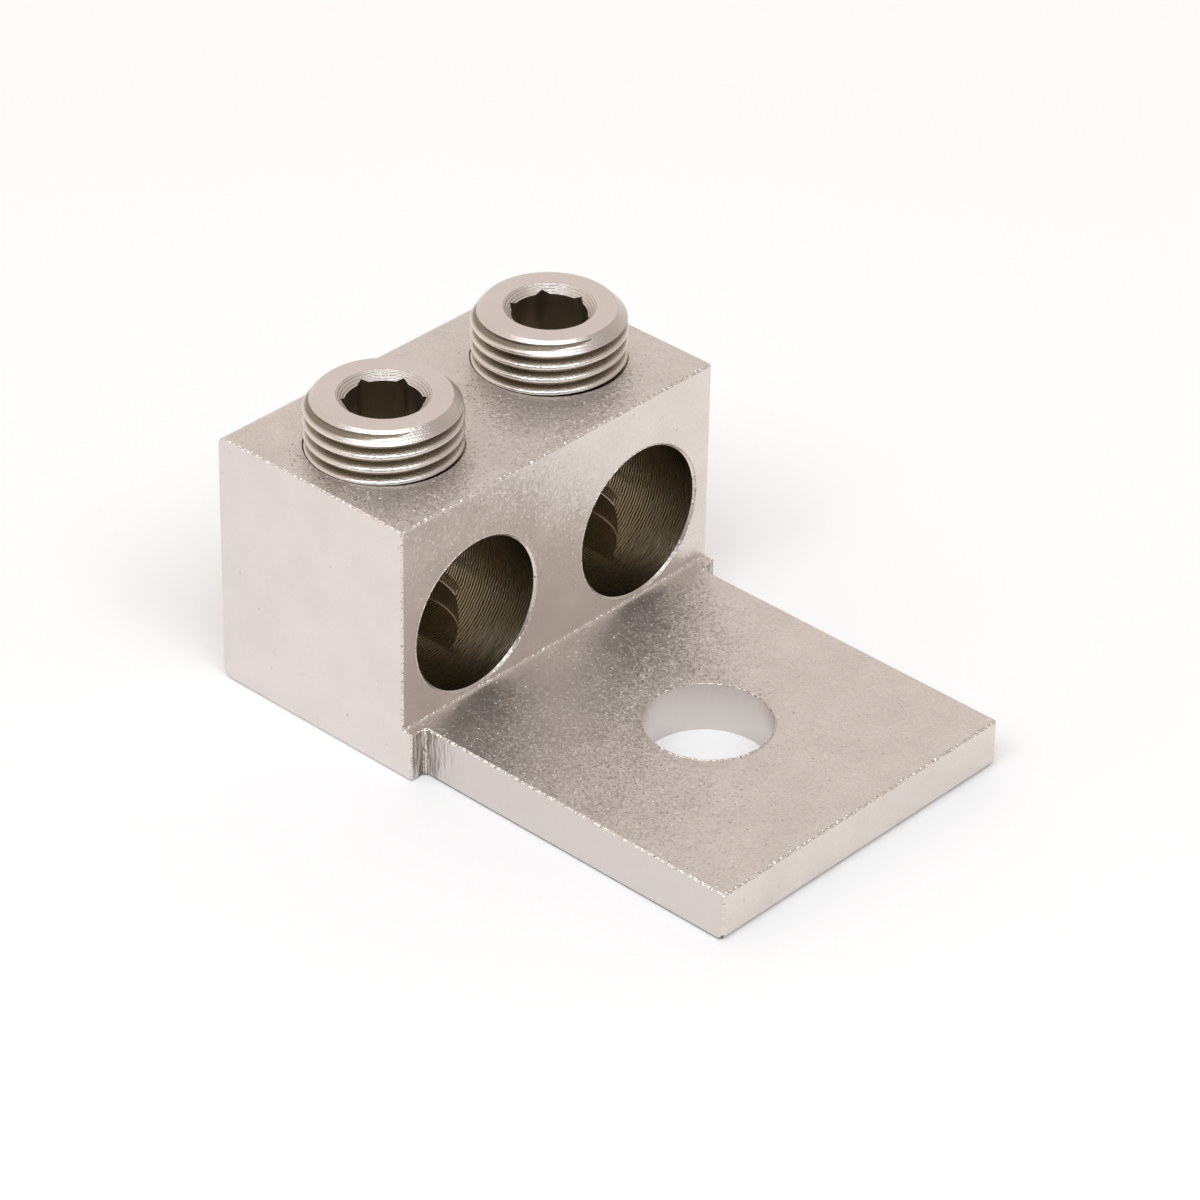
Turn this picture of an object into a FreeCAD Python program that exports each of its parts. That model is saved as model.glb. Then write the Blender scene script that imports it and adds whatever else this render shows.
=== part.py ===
import FreeCAD
import Part

import math
import os

# Two-barrel mechanical lug: a block with two wire bores, a set screw over each bore,
# and a flat tongue with one stud hole. All sizes are in millimetres.
# Frame: the origin is the stud hole's centre on the underside, which is the mounting face.
# +Z points up to the set screws, +Y from the tongue's tip to the block, +X along the row of bores.

# The screws' thread and their hex key are inch sizes
inch = 25.4

# Body: a sawn length of L-shaped extrusion, with its tongue trimmed narrower in a press
block_depth = 27.6
block_height = 30.8
tongue_thickness = 5.9
tongue_length = 43.7
trim_depth = 2.15
shoulder_length = 1.3
back_edge_radius = 1.3
front_edge_radius = 0.35
root_fillet_radius = 0.5
tip_top_radius = 0.35
tip_bottom_radius = 0.9
shoulder_corner_radius = 0.5
sawn_edge_break = 0.2

# Stud hole and wire bores, both drilled through
stud_hole_diameter = 14.2
stud_hole_setback = 21.9
bore_diameter = 17.9
bore_spacing = 25.4
bore_outer_wall = 2.3
bore_axis_height = 15.45
bore_edge_break = 0.25

# Screw holes: drilled flat-bottomed from the top, then tapped to short of the floor
thread_diameter = 17.25
thread_pitch = inch / 16
thread_running_clearance = 0.08
tap_drill_diameter = 15.9
drilled_floor_rise = 0.3
untapped_depth = 3.15

# Set screws
screw_length = 12.3
screw_end_gap = 0.1
screw_face_diameter = 14.8
screw_tip_diameter = 15.0
socket_across_flats = inch * 5 / 16
socket_pilot_diameter = 8.4
socket_mouth_diameter = 10.2
socket_depth = 7.6
drill_point_angle = 118.0
left_screw_angle = 17.0
right_screw_angle = 54.0

# Sizes and places that follow
block_width = bore_spacing + bore_diameter + 2 * bore_outer_wall
tongue_width = block_width - 2 * trim_depth
block_front_y = stud_hole_setback
block_back_y = block_front_y + block_depth
tip_y = block_front_y - tongue_length
shoulder_y = block_front_y - shoulder_length
screw_axis_y = block_front_y + block_depth / 2
thread_radius = thread_diameter / 2
tapped_radius = thread_radius + thread_running_clearance
drilled_floor_z = bore_axis_height - bore_diameter / 2 + drilled_floor_rise
tapped_end_z = drilled_floor_z + untapped_depth
screw_rest_z = bore_axis_height + bore_diameter / 2 + screw_end_gap

X_AXIS = FreeCAD.Vector(1, 0, 0)
Y_AXIS = FreeCAD.Vector(0, 1, 0)
Z_AXIS = FreeCAD.Vector(0, 0, 1)
ORIGIN = FreeCAD.Vector(0, 0, 0)


def rounded_outline(corners):
    """Face inside a closed outline, whose corners are (point, radius) pairs; radius 0 stays sharp."""
    edges = []
    last_end = None
    first_start = None
    for i, (corner, radius) in enumerate(corners):
        before = (corners[i - 1][0] - corner).normalize()
        after = (corners[(i + 1) % len(corners)][0] - corner).normalize()
        half_angle = before.getAngle(after) / 2
        start = corner + before * (radius / math.tan(half_angle))
        end = corner + after * (radius / math.tan(half_angle))
        if last_end:
            edges.append(Part.LineSegment(last_end, start).toShape())
        else:
            first_start = start
        if radius:
            middle = corner + (before + after).normalize() * (radius / math.sin(half_angle) - radius)
            edges.append(Part.Arc(start, middle, end).toShape())
        last_end = end
    edges.append(Part.LineSegment(last_end, first_start).toShape())
    return Part.Face(Part.Wire(edges))


def revolved(start, axis, profile):
    """Solid turned about an axis from (radius, distance along the axis) pairs, closed on the axis."""
    side = X_AXIS if abs(axis.x) < 0.5 else Z_AXIS
    outline = [(0, profile[0][1])] + profile + [(0, profile[-1][1])]
    points = [start + side * radius + axis * along for radius, along in outline]
    face = Part.Face(Part.makePolygon(points + points[:1]))
    return face.revolve(start, axis, 360)


def extrusion():
    """The L-shaped section, drawn at the left end and pushed across to the right end."""
    left = -block_width / 2
    section = rounded_outline([
        (FreeCAD.Vector(left, tip_y, 0), tip_bottom_radius),
        (FreeCAD.Vector(left, block_back_y, 0), back_edge_radius),
        (FreeCAD.Vector(left, block_back_y, block_height), back_edge_radius),
        (FreeCAD.Vector(left, block_front_y, block_height), front_edge_radius),
        (FreeCAD.Vector(left, block_front_y, tongue_thickness), root_fillet_radius),
        (FreeCAD.Vector(left, tip_y, tongue_thickness), tip_top_radius),
    ])
    return section.extrude(X_AXIS * block_width)


def tongue_trim(side):
    """What the press takes off one side of the tongue, up to the full-width shoulder."""
    inner = side * tongue_width / 2
    outer = side * block_width
    outline = rounded_outline([
        (FreeCAD.Vector(outer, tip_y - tongue_length, -block_height), 0),
        (FreeCAD.Vector(inner, tip_y - tongue_length, -block_height), 0),
        (FreeCAD.Vector(inner, shoulder_y, -block_height), shoulder_corner_radius),
        (FreeCAD.Vector(outer, shoulder_y, -block_height), 0),
    ])
    return outline.extrude(Z_AXIS * (3 * block_height))


def stud_hole():
    """Cutter for the stud hole, drilled straight through the tongue."""
    return Part.makeCylinder(stud_hole_diameter / 2, tongue_thickness)


def wire_bore(x):
    """Cutter for one wire bore, right through the block, with both mouths' edges broken.

    Its wall is drawn in three stretches, so that the screw hole across it opens only the middle one.
    """
    radius = bore_diameter / 2
    return revolved(FreeCAD.Vector(x, block_front_y, bore_axis_height), Y_AXIS, [
        (radius + bore_edge_break, 0),
        (radius, bore_edge_break),
        (radius, block_depth / 2 - tapped_radius),
        (radius, block_depth / 2 + tapped_radius),
        (radius, block_depth - bore_edge_break),
        (radius + bore_edge_break, block_depth),
    ])


def screw_hole(x):
    """Cutter for a screw hole; its tapped part is bored to clear the crests of the screw's thread."""
    drill_radius = tap_drill_diameter / 2
    return revolved(FreeCAD.Vector(x, screw_axis_y, 0), Z_AXIS, [
        (drill_radius, drilled_floor_z),
        (drill_radius, tapped_end_z),
        (tapped_radius, tapped_end_z),
        (tapped_radius, block_height),
    ])


def lies_at(edge, x):
    """True for an edge that lies flat in the plane at this x."""
    box = edge.BoundBox
    return abs(box.XMin - x) < 1e-4 and abs(box.XMax - x) < 1e-4


def sawn_edges(body):
    """The edges round both sawn ends of the block and along both sides of the tongue."""
    found = []
    for edge in body.Edges:
        for side in (-1, 1):
            round_block = lies_at(edge, side * block_width / 2)
            along_tongue = lies_at(edge, side * tongue_width / 2) and edge.BoundBox.YMax < shoulder_y
            if round_block or along_tongue:
                found.append(edge)
    return found


def lug_body():
    """The extrusion, trimmed, tumbled to break its sawn edges, and drilled."""
    body = extrusion().cut([tongue_trim(-1), tongue_trim(1)])
    body = body.makeChamfer(sawn_edge_break, sawn_edges(body))
    holes = [stud_hole()]
    for x in (-bore_spacing / 2, bore_spacing / 2):
        holes.append(wire_bore(x))
        holes.append(screw_hole(x))
    return body.cut(holes)


def screw_blank():
    """The turned screw before its socket is made, with its sides at the size of the thread's crests."""
    face_radius = screw_face_diameter / 2
    tip_radius = screw_tip_diameter / 2
    return revolved(ORIGIN, Z_AXIS, [
        (tip_radius, 0),
        (thread_radius, thread_radius - tip_radius),
        (thread_radius, screw_length - (thread_radius - face_radius)),
        (face_radius, screw_length),
    ])


def hex_socket(angle):
    """Cutter for the socket: a countersunk pilot hole, and the broached hexagon reaching past it."""
    pilot_radius = socket_pilot_diameter / 2
    mouth_radius = socket_mouth_diameter / 2
    floor_z = screw_length - socket_depth
    point_depth = pilot_radius / math.tan(math.radians(drill_point_angle / 2))
    pilot = revolved(ORIGIN, Z_AXIS, [
        (0, floor_z - point_depth),
        (pilot_radius, floor_z),
        (pilot_radius, screw_length - (mouth_radius - pilot_radius)),
        (mouth_radius, screw_length),
    ])
    corner_radius = socket_across_flats / 2 / math.cos(math.pi / 6)
    corners = []
    for i in range(6):
        turn = math.radians(angle + 60 * i)
        corners.append(FreeCAD.Vector(math.cos(turn), math.sin(turn), 0) * corner_radius + Z_AXIS * floor_z)
    hexagon = Part.Face(Part.makePolygon(corners + corners[:1])).extrude(Z_AXIS * socket_depth)
    return pilot.fuse(hexagon)


def set_screw(x, angle):
    """One set screw as supplied, backed out so far that its tip just clears the wire bore."""
    screw = screw_blank().cut(hex_socket(angle))
    rise = thread_pitch * angle / 360
    screw.translate(FreeCAD.Vector(x, screw_axis_y, screw_rest_z + rise))
    return screw


def write(name, shape):
    if len(shape.Solids) != 1 or not shape.isValid():
        raise ValueError(f"{name} isn't one valid solid")
    shape.Solids[0].exportStep(os.path.join("parts", name + ".step"))
    print(name, "volume", round(shape.Volume, 1), "faces", len(shape.Faces))


os.makedirs("parts", exist_ok=True)
write("lug_body", lug_body())
write("left_set_screw", set_screw(-bore_spacing / 2, left_screw_angle))
write("right_set_screw", set_screw(bore_spacing / 2, right_screw_angle))
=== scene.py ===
import math

import bpy
from mathutils import Matrix, Vector


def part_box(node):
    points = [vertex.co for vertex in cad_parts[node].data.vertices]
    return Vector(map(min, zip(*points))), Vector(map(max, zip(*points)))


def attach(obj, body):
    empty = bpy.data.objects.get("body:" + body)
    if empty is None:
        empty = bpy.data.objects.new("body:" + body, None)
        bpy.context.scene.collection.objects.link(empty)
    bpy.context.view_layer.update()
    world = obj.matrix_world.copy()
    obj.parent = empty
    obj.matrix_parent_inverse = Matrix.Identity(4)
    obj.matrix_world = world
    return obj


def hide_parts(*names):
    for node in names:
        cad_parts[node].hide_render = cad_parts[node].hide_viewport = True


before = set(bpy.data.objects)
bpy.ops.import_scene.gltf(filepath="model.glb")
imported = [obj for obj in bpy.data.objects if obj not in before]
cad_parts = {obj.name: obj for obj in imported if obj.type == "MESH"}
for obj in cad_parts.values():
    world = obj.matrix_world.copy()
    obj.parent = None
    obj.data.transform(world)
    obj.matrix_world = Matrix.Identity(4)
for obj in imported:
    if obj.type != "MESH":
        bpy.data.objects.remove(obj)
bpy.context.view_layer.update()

# Camera: the photograph's own view, found by fitting it to the lug's corners, bores and screws.
# It looks down on the tongue's left front corner, and is turned a little about its own axis.
mm = 0.001
view_azimuth = math.radians(-47.708)
view_elevation = math.radians(33.415)
view_roll = math.radians(1.185)
view_distance = 447.3 * mm
view_target = Vector((-63.57, -41.94, 70.74)) * mm
sensor_width = 36.0
lens_length = 154.25

backward = Vector((
    math.sin(view_azimuth) * math.cos(view_elevation),
    -math.cos(view_azimuth) * math.cos(view_elevation),
    math.sin(view_elevation),
))
level_right = Vector((math.cos(view_azimuth), math.sin(view_azimuth), 0))
level_up = backward.cross(level_right)
view_right = math.cos(view_roll) * level_right + math.sin(view_roll) * level_up
view_up = math.cos(view_roll) * level_up - math.sin(view_roll) * level_right
bpy.ops.object.camera_add(location=view_target + backward * view_distance)
camera = bpy.context.object
camera.rotation_euler = Matrix((view_right, view_up, backward)).transposed().to_euler()
camera.data.sensor_width = sensor_width
camera.data.lens = lens_length
camera.data.clip_end = 20
bpy.context.scene.camera = camera
bpy.context.scene.view_settings.view_transform = "Standard"


# Lug body: one sawn length of L-shaped aluminium extrusion, with its tongue trimmed narrower,
# two wire bores drilled through it and a tapped hole down into each, tumbled and then
# tin plated all over. It is the CAD body, merged so that its edges and bores shade as one skin.
block_front = 21.9 * mm
block_back = 49.5 * mm
block_top = 30.8 * mm
block_side = 23.95 * mm
tongue_side = 21.8 * mm
tongue_top = 5.9 * mm
tongue_tip = -21.8 * mm
front_edge_radius = 0.35 * mm
crease_radius = 0.5 * mm
crease_reach = 0.3 * mm
sawn_edge_reach = 0.25 * mm
stud_hole_radius = 7.1 * mm
bore_offset = 12.7 * mm
bore_height = 15.45 * mm
bore_radius = 8.95 * mm
bore_edge_break = 0.25 * mm
tapped_radius = 8.705 * mm
screw_row = (block_front + block_back) / 2
hairline = 0.01 * mm
sliver = 0.03 * mm


def only(piece):
    """Makes a piece the one that is selected and active, as the operators need."""
    bpy.ops.object.select_all(action="DESELECT")
    piece.select_set(True)
    bpy.context.view_layer.objects.active = piece


body = bpy.data.objects.new("lug_body_skin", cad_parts["lug_body"].data.copy())
bpy.context.collection.objects.link(body)
only(body)
bpy.ops.object.mode_set(mode="EDIT")
bpy.ops.mesh.select_all(action="SELECT")
bpy.ops.mesh.remove_doubles(threshold=0.001 * mm)
bpy.ops.object.mode_set(mode="OBJECT")
bpy.ops.mesh.customdata_custom_splitnormals_clear()
bpy.ops.object.shade_smooth_by_angle(angle=math.radians(20))
bpy.ops.object.modifier_add(type="WEIGHTED_NORMAL")
body.modifiers[-1].keep_sharp = True
bpy.ops.object.modifier_apply(modifier=body.modifiers[-1].name)


def linear(hex_colour):
    """An sRGB hex colour as the linear colour that a shader takes."""
    channels = [int(hex_colour[i:i + 2], 16) / 255 for i in (1, 3, 5)]
    return tuple(c / 12.92 if c <= 0.04045 else ((c + 0.055) / 1.055) ** 2.4 for c in channels) + (1,)


def add(owner, kind, settings, links=None):
    """Adds a node to a material or the world.

    Settings are the node's properties, or its sockets by name or number; links feed its sockets.
    """
    node = owner.node_tree.nodes.new(kind)
    for name, value in settings.items():
        if isinstance(name, int) or name in node.inputs:
            node.inputs[name].default_value = value
        else:
            setattr(node, name, value)
    for name, source in (links or {}).items():
        owner.node_tree.links.new(source, node.inputs[name])
    return node


def metal(name, colour, roughness):
    """A bare metal: the new material and its shader."""
    material = bpy.data.materials.new(name)
    material.use_nodes = True
    shader = material.node_tree.nodes["Principled BSDF"]
    shader.inputs["Metallic"].default_value = 1.0
    shader.inputs["Base Color"].default_value = linear(colour)
    shader.inputs["Roughness"].default_value = roughness
    return material, shader


def millimetres(material):
    """A piece's own coordinates in millimetres, which all patterns are drawn in."""
    place = add(material, "ShaderNodeTexCoord", {}).outputs["Object"]
    scaled = add(material, "ShaderNodeVectorMath", {"operation": "SCALE", "Scale": 1 / mm}, {0: place})
    return scaled.outputs["Vector"]


def tin_plate(name, dark, light, roughness, tilt, steepest_tilt):
    """Matte tin plate: pale warm grey metal, whose fine grains each tilt a little and glitter."""
    material, shader = metal(name, light, roughness)
    place = millimetres(material)
    # Clouds of slightly duller and shinier plate
    cloud_size = 5.0
    cloud_contrast = 0.06
    cloud = add(material, "ShaderNodeTexNoise", {"Scale": 1 / cloud_size, "Detail": 3.0}, {"Vector": place})
    rough = add(material, "ShaderNodeMapRange", {
        "To Min": roughness - cloud_contrast, "To Max": roughness + cloud_contrast,
    }, {"Value": cloud.outputs["Fac"]})
    # Pits from handling: one wherever a cell's point happens to lie within 0.2 mm of the surface
    pit_spacing = 2.2
    pit_depth = 0.08 * mm
    cell = add(material, "ShaderNodeTexVoronoi", {"Scale": 1 / pit_spacing}, {"Vector": place})
    pit = add(material, "ShaderNodeMapRange", {"From Min": 0.03, "From Max": 0.08}, {
        "Value": cell.outputs["Distance"],
    })
    bump = add(material, "ShaderNodeBump", {"Strength": 1.0, "Distance": pit_depth}, {
        "Height": pit.outputs["Result"],
    })
    # The real grains are finer than the picture can hold, so they are drawn coarser.
    # Most tilt alike, and about one in five tilts farther, up to the steepest.
    grain_size = 0.2
    share_with_small_tilt = 0.82
    grain = add(material, "ShaderNodeTexVoronoi", {"Scale": 1 / grain_size}, {"Vector": place})
    middle = add(material, "ShaderNodeVectorMath", {"operation": "SUBTRACT", 1: (0.5, 0.5, 0.5)}, {
        0: grain.outputs["Color"],
    })
    chance = add(material, "ShaderNodeSeparateXYZ", {}, {"Vector": grain.outputs["Color"]})
    reach = add(material, "ShaderNodeMapRange", {
        "From Min": share_with_small_tilt, "From Max": 1.0, "To Min": tilt, "To Max": steepest_tilt,
    }, {"Value": chance.outputs["Z"]})
    lean = add(material, "ShaderNodeVectorMath", {"operation": "SCALE"}, {
        0: middle.outputs["Vector"], "Scale": reach.outputs["Result"],
    })
    facet = add(material, "ShaderNodeVectorMath", {"operation": "ADD"}, {
        0: bump.outputs["Normal"], 1: lean.outputs["Vector"],
    })
    normal = add(material, "ShaderNodeVectorMath", {"operation": "NORMALIZE"}, {
        0: facet.outputs["Vector"],
    })
    # Each grain also has its own shade, over the clouds
    own_shade = add(material, "ShaderNodeVectorMath", {"operation": "DOT_PRODUCT", 1: (2 * tilt, 0, 0)}, {
        0: middle.outputs["Vector"],
    })
    shade = add(material, "ShaderNodeMath", {"operation": "ADD"}, {
        0: cloud.outputs["Fac"], 1: own_shade.outputs["Value"],
    })
    tint = add(material, "ShaderNodeMix", {"data_type": "RGBA", 6: linear(dark), 7: linear(light)}, {
        0: shade.outputs["Value"],
    })
    material.node_tree.links.new(tint.outputs[2], shader.inputs["Base Color"])
    material.node_tree.links.new(rough.outputs["Result"], shader.inputs["Roughness"])
    material.node_tree.links.new(normal.outputs["Vector"], shader.inputs["Normal"])
    return material


def drilled_wall():
    """Walls of the bores and tapped holes: dull metal ringed by the drill, painted brown as the holes' shade,
    darkest at the mouths.
    """
    material, shader = metal("drilled_aluminium", "#8a7e66", 0.32)
    place = millimetres(material)
    # The drill's real feed rings are near 0.2 mm apart, too fine for the picture, so they are drawn coarser
    ring_spacing = 0.36
    ring_height = 0.045 * mm
    rings = add(material, "ShaderNodeTexWave", {
        "bands_direction": "Y", "Scale": math.pi / 10 / ring_spacing, "Distortion": 3.0, "Detail": 3.0,
        "Detail Scale": 1.2,
    }, {"Vector": place})
    bump = add(material, "ShaderNodeBump", {"Strength": 1.0, "Distance": ring_height}, {
        "Height": rings.outputs["Fac"],
    })
    # Painted shade: the walls darken from the middle of the block towards the bores' mouths
    pale_within = 6.0
    dark_beyond = 12.5
    along = add(material, "ShaderNodeSeparateXYZ", {}, {"Vector": place})
    from_middle = add(material, "ShaderNodeMath", {"operation": "SUBTRACT", 1: screw_row / mm}, {
        0: along.outputs["Y"],
    })
    distance = add(material, "ShaderNodeMath", {"operation": "ABSOLUTE"}, {0: from_middle.outputs["Value"]})
    painted_mouth_shade = add(material, "ShaderNodeMapRange", {"From Min": pale_within, "From Max": dark_beyond}, {
        "Value": distance.outputs["Value"],
    })
    tint = add(material, "ShaderNodeMix", {
        "data_type": "RGBA", 6: linear("#978a70"), 7: linear("#635a49"),
    }, {0: painted_mouth_shade.outputs["Result"]})
    material.node_tree.links.new(tint.outputs[2], shader.inputs["Base Color"])
    material.node_tree.links.new(bump.outputs["Normal"], shader.inputs["Normal"])
    return material


def sheared_side():
    """Press-cut sides: the plate is a little greyer, which on the stud hole's wall is painted shade, with
    upright drag streaks, deepest by the shoulder.
    """
    material, shader = metal("sheared_side", "#d6cec9", 0.36)
    place = millimetres(material)
    streak_width = 0.5
    streak_depth = 0.4 * mm
    drawn_out = add(material, "ShaderNodeMapping", {"Scale": (1, 1, 0.15)}, {"Vector": place})
    streaks = add(material, "ShaderNodeTexNoise", {
        "Scale": 1 / streak_width, "Detail": 3.0, "Roughness": 0.6,
    }, {"Vector": drawn_out.outputs["Vector"]})
    shallow_before = 15.0
    deepest_from = 19.8
    along = add(material, "ShaderNodeSeparateXYZ", {}, {"Vector": place})
    depth = add(material, "ShaderNodeMapRange", {
        "From Min": shallow_before, "From Max": deepest_from, "To Min": 0.12, "To Max": 1.0,
    }, {"Value": along.outputs["Y"]})
    height = add(material, "ShaderNodeMath", {"operation": "MULTIPLY"}, {
        0: streaks.outputs["Fac"], 1: depth.outputs["Result"],
    })
    bump = add(material, "ShaderNodeBump", {"Strength": 1.0, "Distance": streak_depth}, {
        "Height": height.outputs["Value"],
    })
    scuffed = add(material, "ShaderNodeMapRange", {"From Min": 0.42, "From Max": 0.62}, {
        "Value": height.outputs["Value"],
    })
    tint = add(material, "ShaderNodeMix", {
        "data_type": "RGBA", 6: linear("#d9d1cc"), 7: linear("#877f79"),
    }, {0: scuffed.outputs["Result"]})
    material.node_tree.links.new(tint.outputs[2], shader.inputs["Base Color"])
    material.node_tree.links.new(bump.outputs["Normal"], shader.inputs["Normal"])
    return material


def tumbled_edge():
    """Edges and burrs after tumbling: the same plate over metal beaten into beads, which catch the light."""
    material, shader = metal("tumbled_edge", "#e6ded7", 0.24)
    bead_size = 0.55
    bead_height = 0.42 * mm
    beads = add(material, "ShaderNodeTexNoise", {"Scale": 1 / bead_size, "Detail": 3.0}, {
        "Vector": millimetres(material),
    })
    bump = add(material, "ShaderNodeBump", {"Strength": 1.0, "Distance": bead_height}, {
        "Height": beads.outputs["Fac"],
    })
    material.node_tree.links.new(bump.outputs["Normal"], shader.inputs["Normal"])
    return material


# The top and the tongue glitter most, the upright faces less, and plate on sawn or turned metal is smooth
glittering_plate = tin_plate("plate_on_top_faces", "#d6cfca", "#efe8e3", 0.47, 0.3, 2.0)
upright_plate = tin_plate("plate_on_upright_faces", "#d3cbc4", "#ebe3dc", 0.34, 0.12, 0.32)
smooth_plate = tin_plate("plate_on_cut_metal", "#dbd3cf", "#e9e1dd", 0.42, 0.09, 0.2)
bored_metal = drilled_wall()
beaded_metal = tumbled_edge()
sheared_metal = sheared_side()
finishes = [upright_plate, bored_metal, beaded_metal, sheared_metal, smooth_plate, glittering_plate]
body.data.materials.clear()
for finish in finishes:
    body.data.materials.append(finish)
for face in body.data.polygons:
    x, y, z = abs(face.center.x), face.center.y, face.center.z
    upward = face.normal.z
    finish = upright_plate
    between_mouths = block_front + bore_edge_break + hairline < y < block_back - bore_edge_break - hairline
    in_bore = math.hypot(x - bore_offset, z - bore_height) < bore_radius + sliver
    in_screw_hole = math.hypot(x - bore_offset, y - screw_row) < tapped_radius + sliver and z > 2 * mm
    # The walls of the bores and screw holes take the drilled wall's brown, which is painted shade
    if between_mouths and z < block_top - sliver and (in_bore or in_screw_hole):
        finish = bored_metal
    if abs(z - tongue_top) < sliver or abs(z - block_top) < sliver:
        finish = glittering_plate
    if x > block_side - sliver:
        finish = smooth_plate
    if 0.1 < abs(face.normal.x) < 0.9 and x > tongue_side - sawn_edge_reach:
        finish = beaded_metal
    rounding = front_edge_radius + hairline
    on_block_edge = y < block_front + rounding and z > block_top - rounding
    on_tip_edge = y < tongue_tip + rounding and z > tongue_top - rounding
    if (on_block_edge or on_tip_edge) and 0.1 < upward < 0.95:
        finish = beaded_metal
    # Only the middle of the crease's rounding catches the light, as one thin line
    in_crease = abs(y - block_front + crease_radius / 2) < crease_reach and z < tongue_top + crease_radius
    if in_crease and 0.35 < upward < 0.8:
        finish = beaded_metal
    # On the stud hole's wall the greyer sheared plate is painted shade inside the hole
    trimmed = y < block_front and tongue_side - sliver < x < block_side - sawn_edge_reach
    in_stud_hole = math.hypot(x, y) < stud_hole_radius + sliver
    if (trimmed or in_stud_hole) and abs(upward) < 0.5 and finish != beaded_metal:
        finish = sheared_metal
    # Painted shade: the edges underneath the tongue take the bores' dark, dull wall colour
    if y < block_front and upward < -0.1 and finish == beaded_metal:
        finish = bored_metal
    face.material_index = finishes.index(finish)
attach(body, "lug")
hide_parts("lug_body")

# Burrs that the drills raised round the stud hole's top edge and the bores' front mouths: thin rings
# of the body's metal, plated over with it, which show pale because they stand clear of their faces.
mouth_of_bore = bore_radius + bore_edge_break
for name, centre, turn, radius, height in (
    ("stud_hole_burr", (0, 0, tongue_top), 0, stud_hole_radius, 0.11 * mm),
    ("left_bore_burr", (-bore_offset, block_front, bore_height), 90, mouth_of_bore, 0.06 * mm),
    ("right_bore_burr", (bore_offset, block_front, bore_height), 90, mouth_of_bore, 0.06 * mm),
):
    bpy.ops.object.select_all(action="DESELECT")
    bpy.ops.mesh.primitive_torus_add(
        location=centre, rotation=(math.radians(turn), 0, 0), major_segments=160, minor_segments=8,
        major_radius=radius + 0.6 * height, minor_radius=height,
    )
    burr = bpy.context.object
    bpy.ops.object.transform_apply()
    burr.name = name
    bpy.ops.object.shade_smooth()
    burr.data.materials.append(beaded_metal)
    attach(burr, "lug")


# Beads that the press pushed up where it trimmed the tongue: one along the shoulder's top edge and one
# standing in the notch, on each side. They are part of the body, plated over with it.
def drawn_line(name, start, steps):
    """A new piece that is only a line of edges, drawn step by step and left in edit mode."""
    bpy.ops.object.select_all(action="DESELECT")
    bpy.ops.mesh.primitive_plane_add(size=mm)
    piece = bpy.context.object
    piece.name = name
    bpy.ops.object.mode_set(mode="EDIT")
    bpy.ops.mesh.select_mode(type="VERT")
    bpy.ops.mesh.merge(type="CENTER")
    bpy.ops.transform.translate(value=start)
    for step in steps:
        bpy.ops.mesh.extrude_vertices_move(TRANSFORM_OT_translate={"value": step})
    return piece


# Points along the right side's two beads, in millimetres
shoulder_edge = (
    (23.8, 21.8, 6.15), (23.8, 21.4, 5.9), (23.8, 20.65, 5.88), (22.3, 20.63, 5.88), (21.86, 20.1, 5.86),
)
notch = ((21.98, 20.42, 5.8), (21.98, 20.42, 0.25))
for side, place in (("left", -1), ("right", 1)):
    for name, thickness, path in (
        ("shoulder_bead", 0.11 * mm, shoulder_edge),
        ("notch_bead", 0.19 * mm, notch),
    ):
        corners = [Vector((place * x, y, z)) * mm for x, y, z in path]
        steps = [after - before for before, after in zip(corners, corners[1:])]
        bead = drawn_line(side + "_" + name, corners[0], steps)
        bpy.ops.mesh.select_all(action="SELECT")
        bpy.ops.mesh.subdivide(number_cuts=5)
        bpy.ops.transform.vertex_random(offset=0.3 * thickness, seed=7)
        bpy.ops.object.mode_set(mode="OBJECT")
        bpy.ops.object.convert(target="CURVE")
        bead.data.bevel_depth = thickness
        bead.data.bevel_resolution = 2
        bead.data.use_fill_caps = True
        bpy.ops.object.convert(target="MESH")
        bpy.ops.object.mode_set(mode="EDIT")
        bpy.ops.mesh.select_all(action="SELECT")
        bpy.ops.mesh.remove_doubles(threshold=0.001 * mm)
        bpy.ops.mesh.normals_make_consistent(inside=False)
        bpy.ops.object.mode_set(mode="OBJECT")
        bpy.ops.object.shade_smooth()
        bead.data.materials.append(beaded_metal)
        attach(bead, "lug")


# Set screws: aluminium, turned with an 11/16-16 thread, a countersunk pilot hole and a broached
# hexagon for a 5/16 inch key, then tin plated brighter than the body. Each one stands in its
# tapped hole with its tip just above the wire bore.
inch = 25.4
thread_pitch = inch / 16 * mm
flank_angle = math.radians(30)
crest_radius = 8.625 * mm
root_radius = 7.72 * mm
crest_round = 0.3 * mm
crest_arc = math.radians(60)
blank_radius = crest_radius + 0.2 * mm
face_radius = 7.4 * mm
tip_radius = 7.5 * mm
key_size = inch * 5 / 16 * mm
pilot_radius = 4.2 * mm
mouth_radius = 5.1 * mm
socket_depth = 7.6 * mm
drill_point_slope = math.tan(math.radians(59))
steps_per_turn = 128
cutter_reach = 1 * mm


def thread_outline(crest, root):
    """One turn's outline as (radius, height) pairs, from a rounded crest over a valley to the next crest."""
    half = []
    for i in range(6):
        turn = crest_arc * i / 5
        half.append((crest - crest_round * (1 - math.cos(turn)), crest_round * math.sin(turn)))
    flank_radius, flank_height = half[-1]
    half.append((root, flank_height + (flank_radius - root) * math.tan(flank_angle)))
    return half + [(radius, thread_pitch - height) for radius, height in reversed(half)]


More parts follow.
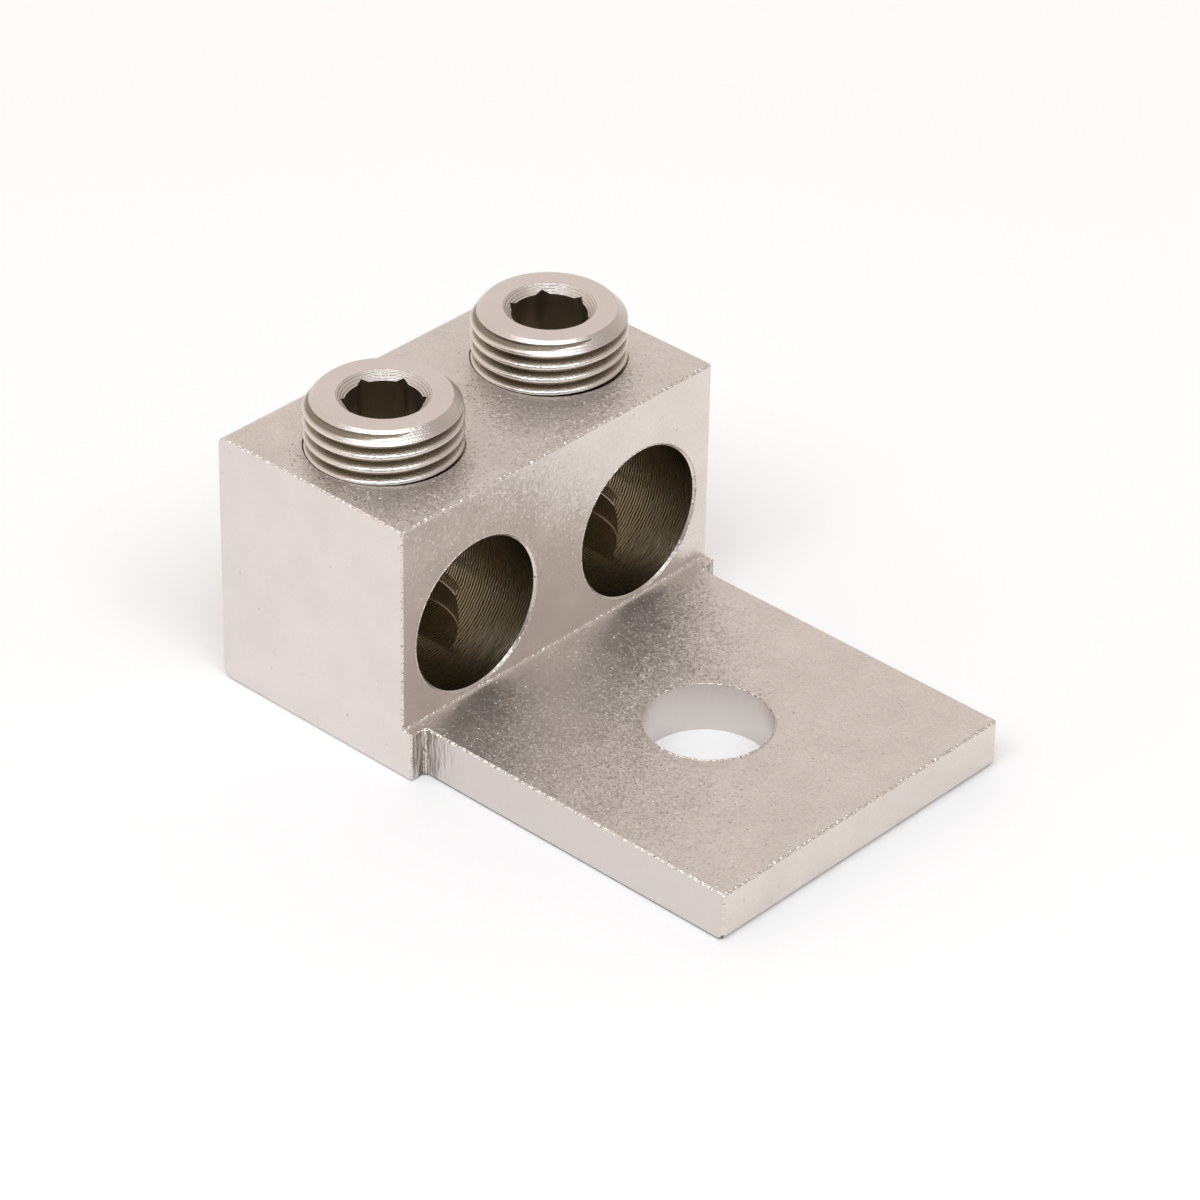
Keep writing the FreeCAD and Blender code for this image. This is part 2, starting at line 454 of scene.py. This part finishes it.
def threaded_rod(name, crest, root, low, high, crest_height):
    """A closed rod round the Z axis, whose right-hand thread crests at that height towards the camera."""
    outline = thread_outline(crest, root)
    start = crest_height - thread_pitch * (math.ceil((crest_height - low) / thread_pitch) + 2)
    steps = [
        (next_radius - radius, 0, next_height - height)
        for (radius, height), (next_radius, next_height) in zip(outline, outline[1:])
    ]
    rod = drawn_line(name, (outline[0][0], 0, start + outline[0][1]), steps)
    bpy.ops.object.mode_set(mode="OBJECT")
    bpy.ops.object.modifier_add(type="SCREW")
    winding = rod.modifiers[-1]
    winding.screw_offset = thread_pitch
    winding.iterations = math.ceil((high - low) / thread_pitch) + 4
    winding.steps = steps_per_turn
    winding.render_steps = steps_per_turn
    winding.use_merge_vertices = True
    winding.merge_threshold = 0.001 * mm
    bpy.ops.object.modifier_apply(modifier=winding.name)
    bpy.ops.object.mode_set(mode="EDIT")
    bpy.ops.mesh.select_all(action="SELECT")
    bpy.ops.mesh.remove_doubles(threshold=0.002 * mm)
    to_camera = math.atan2(backward.y, backward.x)
    bpy.ops.transform.rotate(value=-to_camera, orient_axis="Z", center_override=(0, 0, 0))
    # The operator's own threshold, 0.1 mm, would take points near the cut as lying on it
    for height, side in ((low, -1), (high, 1)):
        bpy.ops.mesh.select_all(action="SELECT")
        bpy.ops.mesh.bisect(plane_co=(0, 0, height), plane_no=(0, 0, side), use_fill=True, clear_outer=True,
                            threshold=0.0001 * mm)
    bpy.ops.mesh.select_all(action="SELECT")
    bpy.ops.mesh.normals_make_consistent(inside=False)
    bpy.ops.object.mode_set(mode="OBJECT")
    return rod


def combine(piece, tool, operation):
    """Cuts a tool out of a piece, or keeps what lies inside the tool, and takes the tool away."""
    only(piece)
    bpy.ops.object.modifier_add(type="BOOLEAN")
    cut = piece.modifiers[-1]
    cut.operation = operation
    cut.object = tool
    cut.solver = "EXACT"
    bpy.ops.object.modifier_apply(modifier=cut.name)
    bpy.data.objects.remove(tool)


def chamfered_blank(low, high):
    """The turned blank that the thread runs out on: wider than the crests, with its two ends chamfered."""
    tip_chamfer = blank_radius - tip_radius
    face_chamfer = blank_radius - face_radius
    bpy.ops.object.select_all(action="DESELECT")
    bpy.ops.mesh.primitive_cone_add(vertices=steps_per_turn, radius1=tip_radius, radius2=blank_radius,
                                    depth=tip_chamfer, location=(0, 0, low + tip_chamfer / 2))
    blank = bpy.context.object
    bpy.ops.object.transform_apply()
    bpy.ops.object.mode_set(mode="EDIT")
    bpy.ops.mesh.select_mode(type="FACE")
    bpy.ops.mesh.select_all(action="DESELECT")
    bpy.ops.object.mode_set(mode="OBJECT")
    for face in blank.data.polygons:
        face.select = face.normal.z > 0.9
    bpy.ops.object.mode_set(mode="EDIT")
    barrel = high - low - tip_chamfer - face_chamfer
    for step in (barrel, face_chamfer):
        bpy.ops.mesh.extrude_region_move(TRANSFORM_OT_translate={"value": (0, 0, step)})
    shrink = face_radius / blank_radius
    bpy.ops.transform.resize(value=(shrink, shrink, 1))
    bpy.ops.object.mode_set(mode="OBJECT")
    return blank


def round_cutter(low_radius, low, high_radius, high):
    """A round piece on the Z axis, straight or tapered."""
    bpy.ops.object.select_all(action="DESELECT")
    bpy.ops.mesh.primitive_cone_add(vertices=steps_per_turn, radius1=low_radius, radius2=high_radius,
                                    depth=high - low, location=(0, 0, (low + high) / 2))
    bpy.ops.object.transform_apply()
    return bpy.context.object


def hexagon_cutter(low, high, angle):
    """The broach: a hexagonal prism with its first corner at that angle."""
    bpy.ops.object.select_all(action="DESELECT")
    bpy.ops.mesh.primitive_cylinder_add(vertices=6, radius=key_size / 2 / math.cos(math.pi / 6),
                                        depth=high - low, location=(0, 0, (low + high) / 2))
    broach = bpy.context.object
    bpy.ops.object.transform_apply()
    corner = broach.data.vertices[0].co
    turn = angle - math.atan2(corner.y, corner.x)
    bpy.ops.object.mode_set(mode="EDIT")
    bpy.ops.mesh.select_all(action="SELECT")
    bpy.ops.transform.rotate(value=-turn, orient_axis="Z", center_override=(0, 0, 0))
    bpy.ops.object.mode_set(mode="OBJECT")
    return broach


def move_mesh(piece, step):
    """Moves a piece's mesh, so that its object stays at the origin."""
    only(piece)
    bpy.ops.object.mode_set(mode="EDIT")
    bpy.ops.mesh.select_all(action="SELECT")
    bpy.ops.transform.translate(value=step)
    bpy.ops.object.mode_set(mode="OBJECT")


def fine_grain(material, place, under=None):
    """The bright plate's own grain as a bump, over another bump if there is one."""
    # The real grains are finer than the picture can hold, so they are drawn coarser
    grain_size = 0.2
    grain_height = 0.05 * mm
    grains = add(material, "ShaderNodeTexNoise", {"Scale": 1 / grain_size, "Detail": 2.0}, {"Vector": place})
    links = {"Height": grains.outputs["Fac"]}
    if under:
        links["Normal"] = under
    bump = add(material, "ShaderNodeBump", {"Strength": 1.0, "Distance": grain_height}, links)
    return bump.outputs["Normal"]


def turned_cone(name, axis, roughness, ring_height):
    """Chamfer or countersink: plate over turned metal, whose rings break up what it reflects."""
    material, shader = metal(name, "#dcd4cd", roughness)
    place = millimetres(material)
    centred = add(material, "ShaderNodeMapping", {"Location": -axis / mm}, {"Vector": place})
    # The lathe's real rings are too fine for the picture, so they are drawn coarser
    ring_spacing = 0.24
    rings = add(material, "ShaderNodeTexWave", {
        "wave_type": "RINGS", "rings_direction": "Z", "Scale": math.pi / 10 / ring_spacing,
        "Distortion": 0.25, "Detail": 2.0, "Detail Scale": 0.5,
    }, {"Vector": centred.outputs["Vector"]})
    bump = add(material, "ShaderNodeBump", {"Strength": 1.0, "Distance": ring_height}, {
        "Height": rings.outputs["Fac"],
    })
    normal = fine_grain(material, place, bump.outputs["Normal"])
    material.node_tree.links.new(normal, shader.inputs["Normal"])
    return material


def plated_thread(name, axis):
    """Thread: bright plate on the crests, painted duller and a little brown down in the grooves as their
    shade.
    """
    material, shader = metal(name, "#e4dcd5", 0.26)
    place = millimetres(material)
    flat = add(material, "ShaderNodeMapping", {"Location": -axis / mm, "Scale": (1, 1, 0)}, {"Vector": place})
    radius = add(material, "ShaderNodeVectorMath", {"operation": "LENGTH"}, {0: flat.outputs["Vector"]})
    # Painted shade: the plate darkens to brown down in the grooves
    clear_of_groove_shade = add(material, "ShaderNodeMapRange", {
        "From Min": crest_radius / mm - 0.4, "From Max": crest_radius / mm - 0.12,
    }, {"Value": radius.outputs["Value"]})
    tint = add(material, "ShaderNodeMix", {
        "data_type": "RGBA", 6: linear("#8f8576"), 7: linear("#e8e0d9"),
    }, {0: clear_of_groove_shade.outputs["Result"]})
    material.node_tree.links.new(tint.outputs[2], shader.inputs["Base Color"])
    material.node_tree.links.new(fine_grain(material, place), shader.inputs["Normal"])
    return material


def broached_wall(name):
    """Socket walls: dull metal, painted dark brown as the shade inside the hole."""
    return metal(name, "#a69c8c", 0.35)[0]


# The thread's crest heights are read on the side that faces the camera
crest_heights = {"left": 30.95 * mm, "right": 31.05 * mm}
hexagon_angles = {"left": math.radians(17), "right": math.radians(54)}
for side in ("left", "right"):
    low_corner, high_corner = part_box(side + "_set_screw")
    axis = Vector(((low_corner.x + high_corner.x) / 2, (low_corner.y + high_corner.y) / 2, 0))
    low, high = low_corner.z, high_corner.z
    above = high + cutter_reach
    screw = threaded_rod(side + "_threaded_screw", crest_radius, root_radius,
                         low - cutter_reach, above, crest_heights[side])
    combine(screw, chamfered_blank(low, high), "INTERSECT")
    floor_height = high - socket_depth
    countersink_low = high - (mouth_radius - pilot_radius)
    for tool in (
        round_cutter(pilot_radius - cutter_reach, countersink_low - cutter_reach,
                     mouth_radius + cutter_reach, above),
        round_cutter(0, floor_height - pilot_radius / drill_point_slope, pilot_radius, floor_height),
        round_cutter(pilot_radius, floor_height - hairline, pilot_radius, above),
        hexagon_cutter(floor_height, above, hexagon_angles[side]),
    ):
        combine(screw, tool, "DIFFERENCE")
    move_mesh(screw, axis)
    bpy.ops.object.shade_smooth_by_angle(angle=math.radians(32))
    thread = plated_thread(side + "_screw_thread", axis)
    socket = broached_wall(side + "_screw_socket")
    chamfer = turned_cone(side + "_screw_chamfer", axis, 0.29, 0.014 * mm)
    countersink = turned_cone(side + "_screw_countersink", axis, 0.42, 0.045 * mm)
    finishes = [thread, smooth_plate, socket, chamfer, countersink]
    screw.data.materials.clear()
    for finish in finishes:
        screw.data.materials.append(finish)
    for face in screw.data.polygons:
        radius = math.hypot(face.center.x - axis.x, face.center.y - axis.y)
        down = high - face.center.z
        finish = thread
        if down < hairline:
            finish = smooth_plate
        elif abs(radius - face_radius - down) < 2 * hairline:
            finish = chamfer
        elif abs(mouth_radius - radius - down) < 2 * hairline:
            finish = countersink
        elif radius < mouth_radius:
            finish = socket
        face.material_index = finishes.index(finish)
    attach(screw, side + "_screw")
    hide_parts(side + "_set_screw")


# Threads tapped in the lug's two screw holes: part of the body's own metal, cut by one tap down to
# short of the drilled floor, and broken off where each hole crosses its wire bore. Each is drawn as
# a sleeve of thread against the hole's plain wall, in step with its screw and just clear of it.
tapped_low = 9.95 * mm
tapped_high = block_top - 0.35 * mm
tap_drill_radius = 7.95 * mm


def bore_cutter():
    """A cutter along Y at the wire bores' height, a hair wider than a bore."""
    radius = bore_radius + hairline
    bore = round_cutter(radius, -2 * bore_radius, radius, 2 * bore_radius)
    bpy.ops.object.mode_set(mode="EDIT")
    bpy.ops.mesh.select_all(action="SELECT")
    bpy.ops.transform.rotate(value=math.radians(90), orient_axis="X", center_override=(0, 0, 0))
    bpy.ops.transform.translate(value=(0, 0, bore_height))
    bpy.ops.object.mode_set(mode="OBJECT")
    return bore


for side, place in (("left", -1), ("right", 1)):
    sleeve = round_cutter(tapped_radius + hairline, tapped_low, tapped_radius + hairline, tapped_high)
    sleeve.name = side + "_tapped_thread"
    tap = threaded_rod("tap", tapped_radius - hairline, tap_drill_radius,
                       tapped_low - cutter_reach, tapped_high + cutter_reach, crest_heights[side])
    combine(sleeve, tap, "DIFFERENCE")
    combine(sleeve, bore_cutter(), "DIFFERENCE")
    move_mesh(sleeve, (place * bore_offset, screw_row, 0))
    bpy.ops.object.shade_smooth_by_angle(angle=math.radians(32))
    sleeve.data.materials.clear()
    # The sleeves take the drilled wall's brown, which is painted shade
    sleeve.data.materials.append(bored_metal)
    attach(sleeve, "lug")

# Two edges low in each screw hole, where the tap stopped and where the drill's flat end turned: thin rings of
# the body's metal, paler than the walls' painted shade, so that they show as light lines through the wire
# bore.
drilled_low = 6.86 * mm
unshaded_edge_metal = metal("unshaded_edge_metal", "#d8cdbb", 0.3)[0]
for side, place in (("left", -1), ("right", 1)):
    for name, height in (("tap_end", tapped_low), ("drill_end", drilled_low)):
        bpy.ops.object.select_all(action="DESELECT")
        bpy.ops.mesh.primitive_torus_add(location=(0, 0, height), major_segments=96, minor_segments=8,
                                         major_radius=tap_drill_radius, minor_radius=0.08 * mm)
        ring = bpy.context.object
        bpy.ops.object.transform_apply()
        ring.name = side + "_" + name + "_edge"
        combine(ring, bore_cutter(), "DIFFERENCE")
        move_mesh(ring, (place * bore_offset, screw_row, 0))
        bpy.ops.object.shade_smooth_by_angle(angle=math.radians(40))
        ring.data.materials.clear()
        ring.data.materials.append(unshaded_edge_metal)
        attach(ring, "lug")


# Studio: a plain white floor that keeps the lug's soft shadow, a pale warm surround that is darker
# towards the front and dark behind the camera, and one wide, cooler lamp above the camera, which
# whitens the screws' chamfers and crests.
def plain_white():
    """Matte white card."""
    material = bpy.data.materials.new("white_card")
    material.use_nodes = True
    shader = material.node_tree.nodes["Principled BSDF"]
    shader.inputs["Base Color"].default_value = linear("#fefefe")
    shader.inputs["Roughness"].default_value = 0.9
    shader.inputs["Specular IOR Level"].default_value = 0.0
    return material


floor_gap = 0.02 * mm
bpy.ops.mesh.primitive_plane_add(size=6, location=(0, 0, -floor_gap))
floor = bpy.context.object
floor.name = "floor"
floor.data.materials.append(plain_white())

front_strength = 0.5
back_strength = 0.86
dark_share = 0.03
world = bpy.data.worlds.new("pale_studio")
bpy.context.scene.world = world
world.use_nodes = True
background = world.node_tree.nodes["Background"]
background.inputs["Color"].default_value = linear("#fff6f0")
toward = add(world, "ShaderNodeTexCoord", {}).outputs["Generated"]
across = add(world, "ShaderNodeSeparateXYZ", {}, {"Vector": toward})
wall = add(world, "ShaderNodeMapRange", {
    "From Min": -0.56, "From Max": 0.56, "To Min": front_strength, "To Max": back_strength,
}, {"Value": across.outputs["Y"]})
doorway = add(world, "ShaderNodeVectorMath", {"operation": "DOT_PRODUCT", 1: backward}, {0: toward})
dark = add(world, "ShaderNodeMapRange", {
    "From Min": 0.8, "From Max": 0.94, "To Min": 1.0, "To Max": dark_share,
}, {"Value": doorway.outputs["Value"]})
strength = add(world, "ShaderNodeMath", {"operation": "MULTIPLY"}, {
    0: wall.outputs["Result"], 1: dark.outputs["Result"],
})
world.node_tree.links.new(strength.outputs["Value"], background.inputs["Strength"])

object_centre = Vector((0, 14, 15)) * mm
lamp_elevation = math.radians(57)
lamp_distance = 2.4
lamp_radiance = 3.6
lamp_direction = Vector((
    math.sin(view_azimuth) * math.cos(lamp_elevation),
    -math.cos(view_azimuth) * math.cos(lamp_elevation),
    math.sin(lamp_elevation),
))
bpy.ops.object.light_add(type="AREA", location=object_centre + lamp_direction * lamp_distance)
lamp = bpy.context.object
lamp.rotation_euler = lamp_direction.to_track_quat("Z", "Y").to_euler()
lamp.data.shape = "RECTANGLE"
lamp.data.size = 3.1
lamp.data.size_y = 1.2
lamp.data.color = (0.88, 0.95, 1.0)
lamp.data.energy = lamp_radiance * math.pi * lamp.data.size * lamp.data.size_y
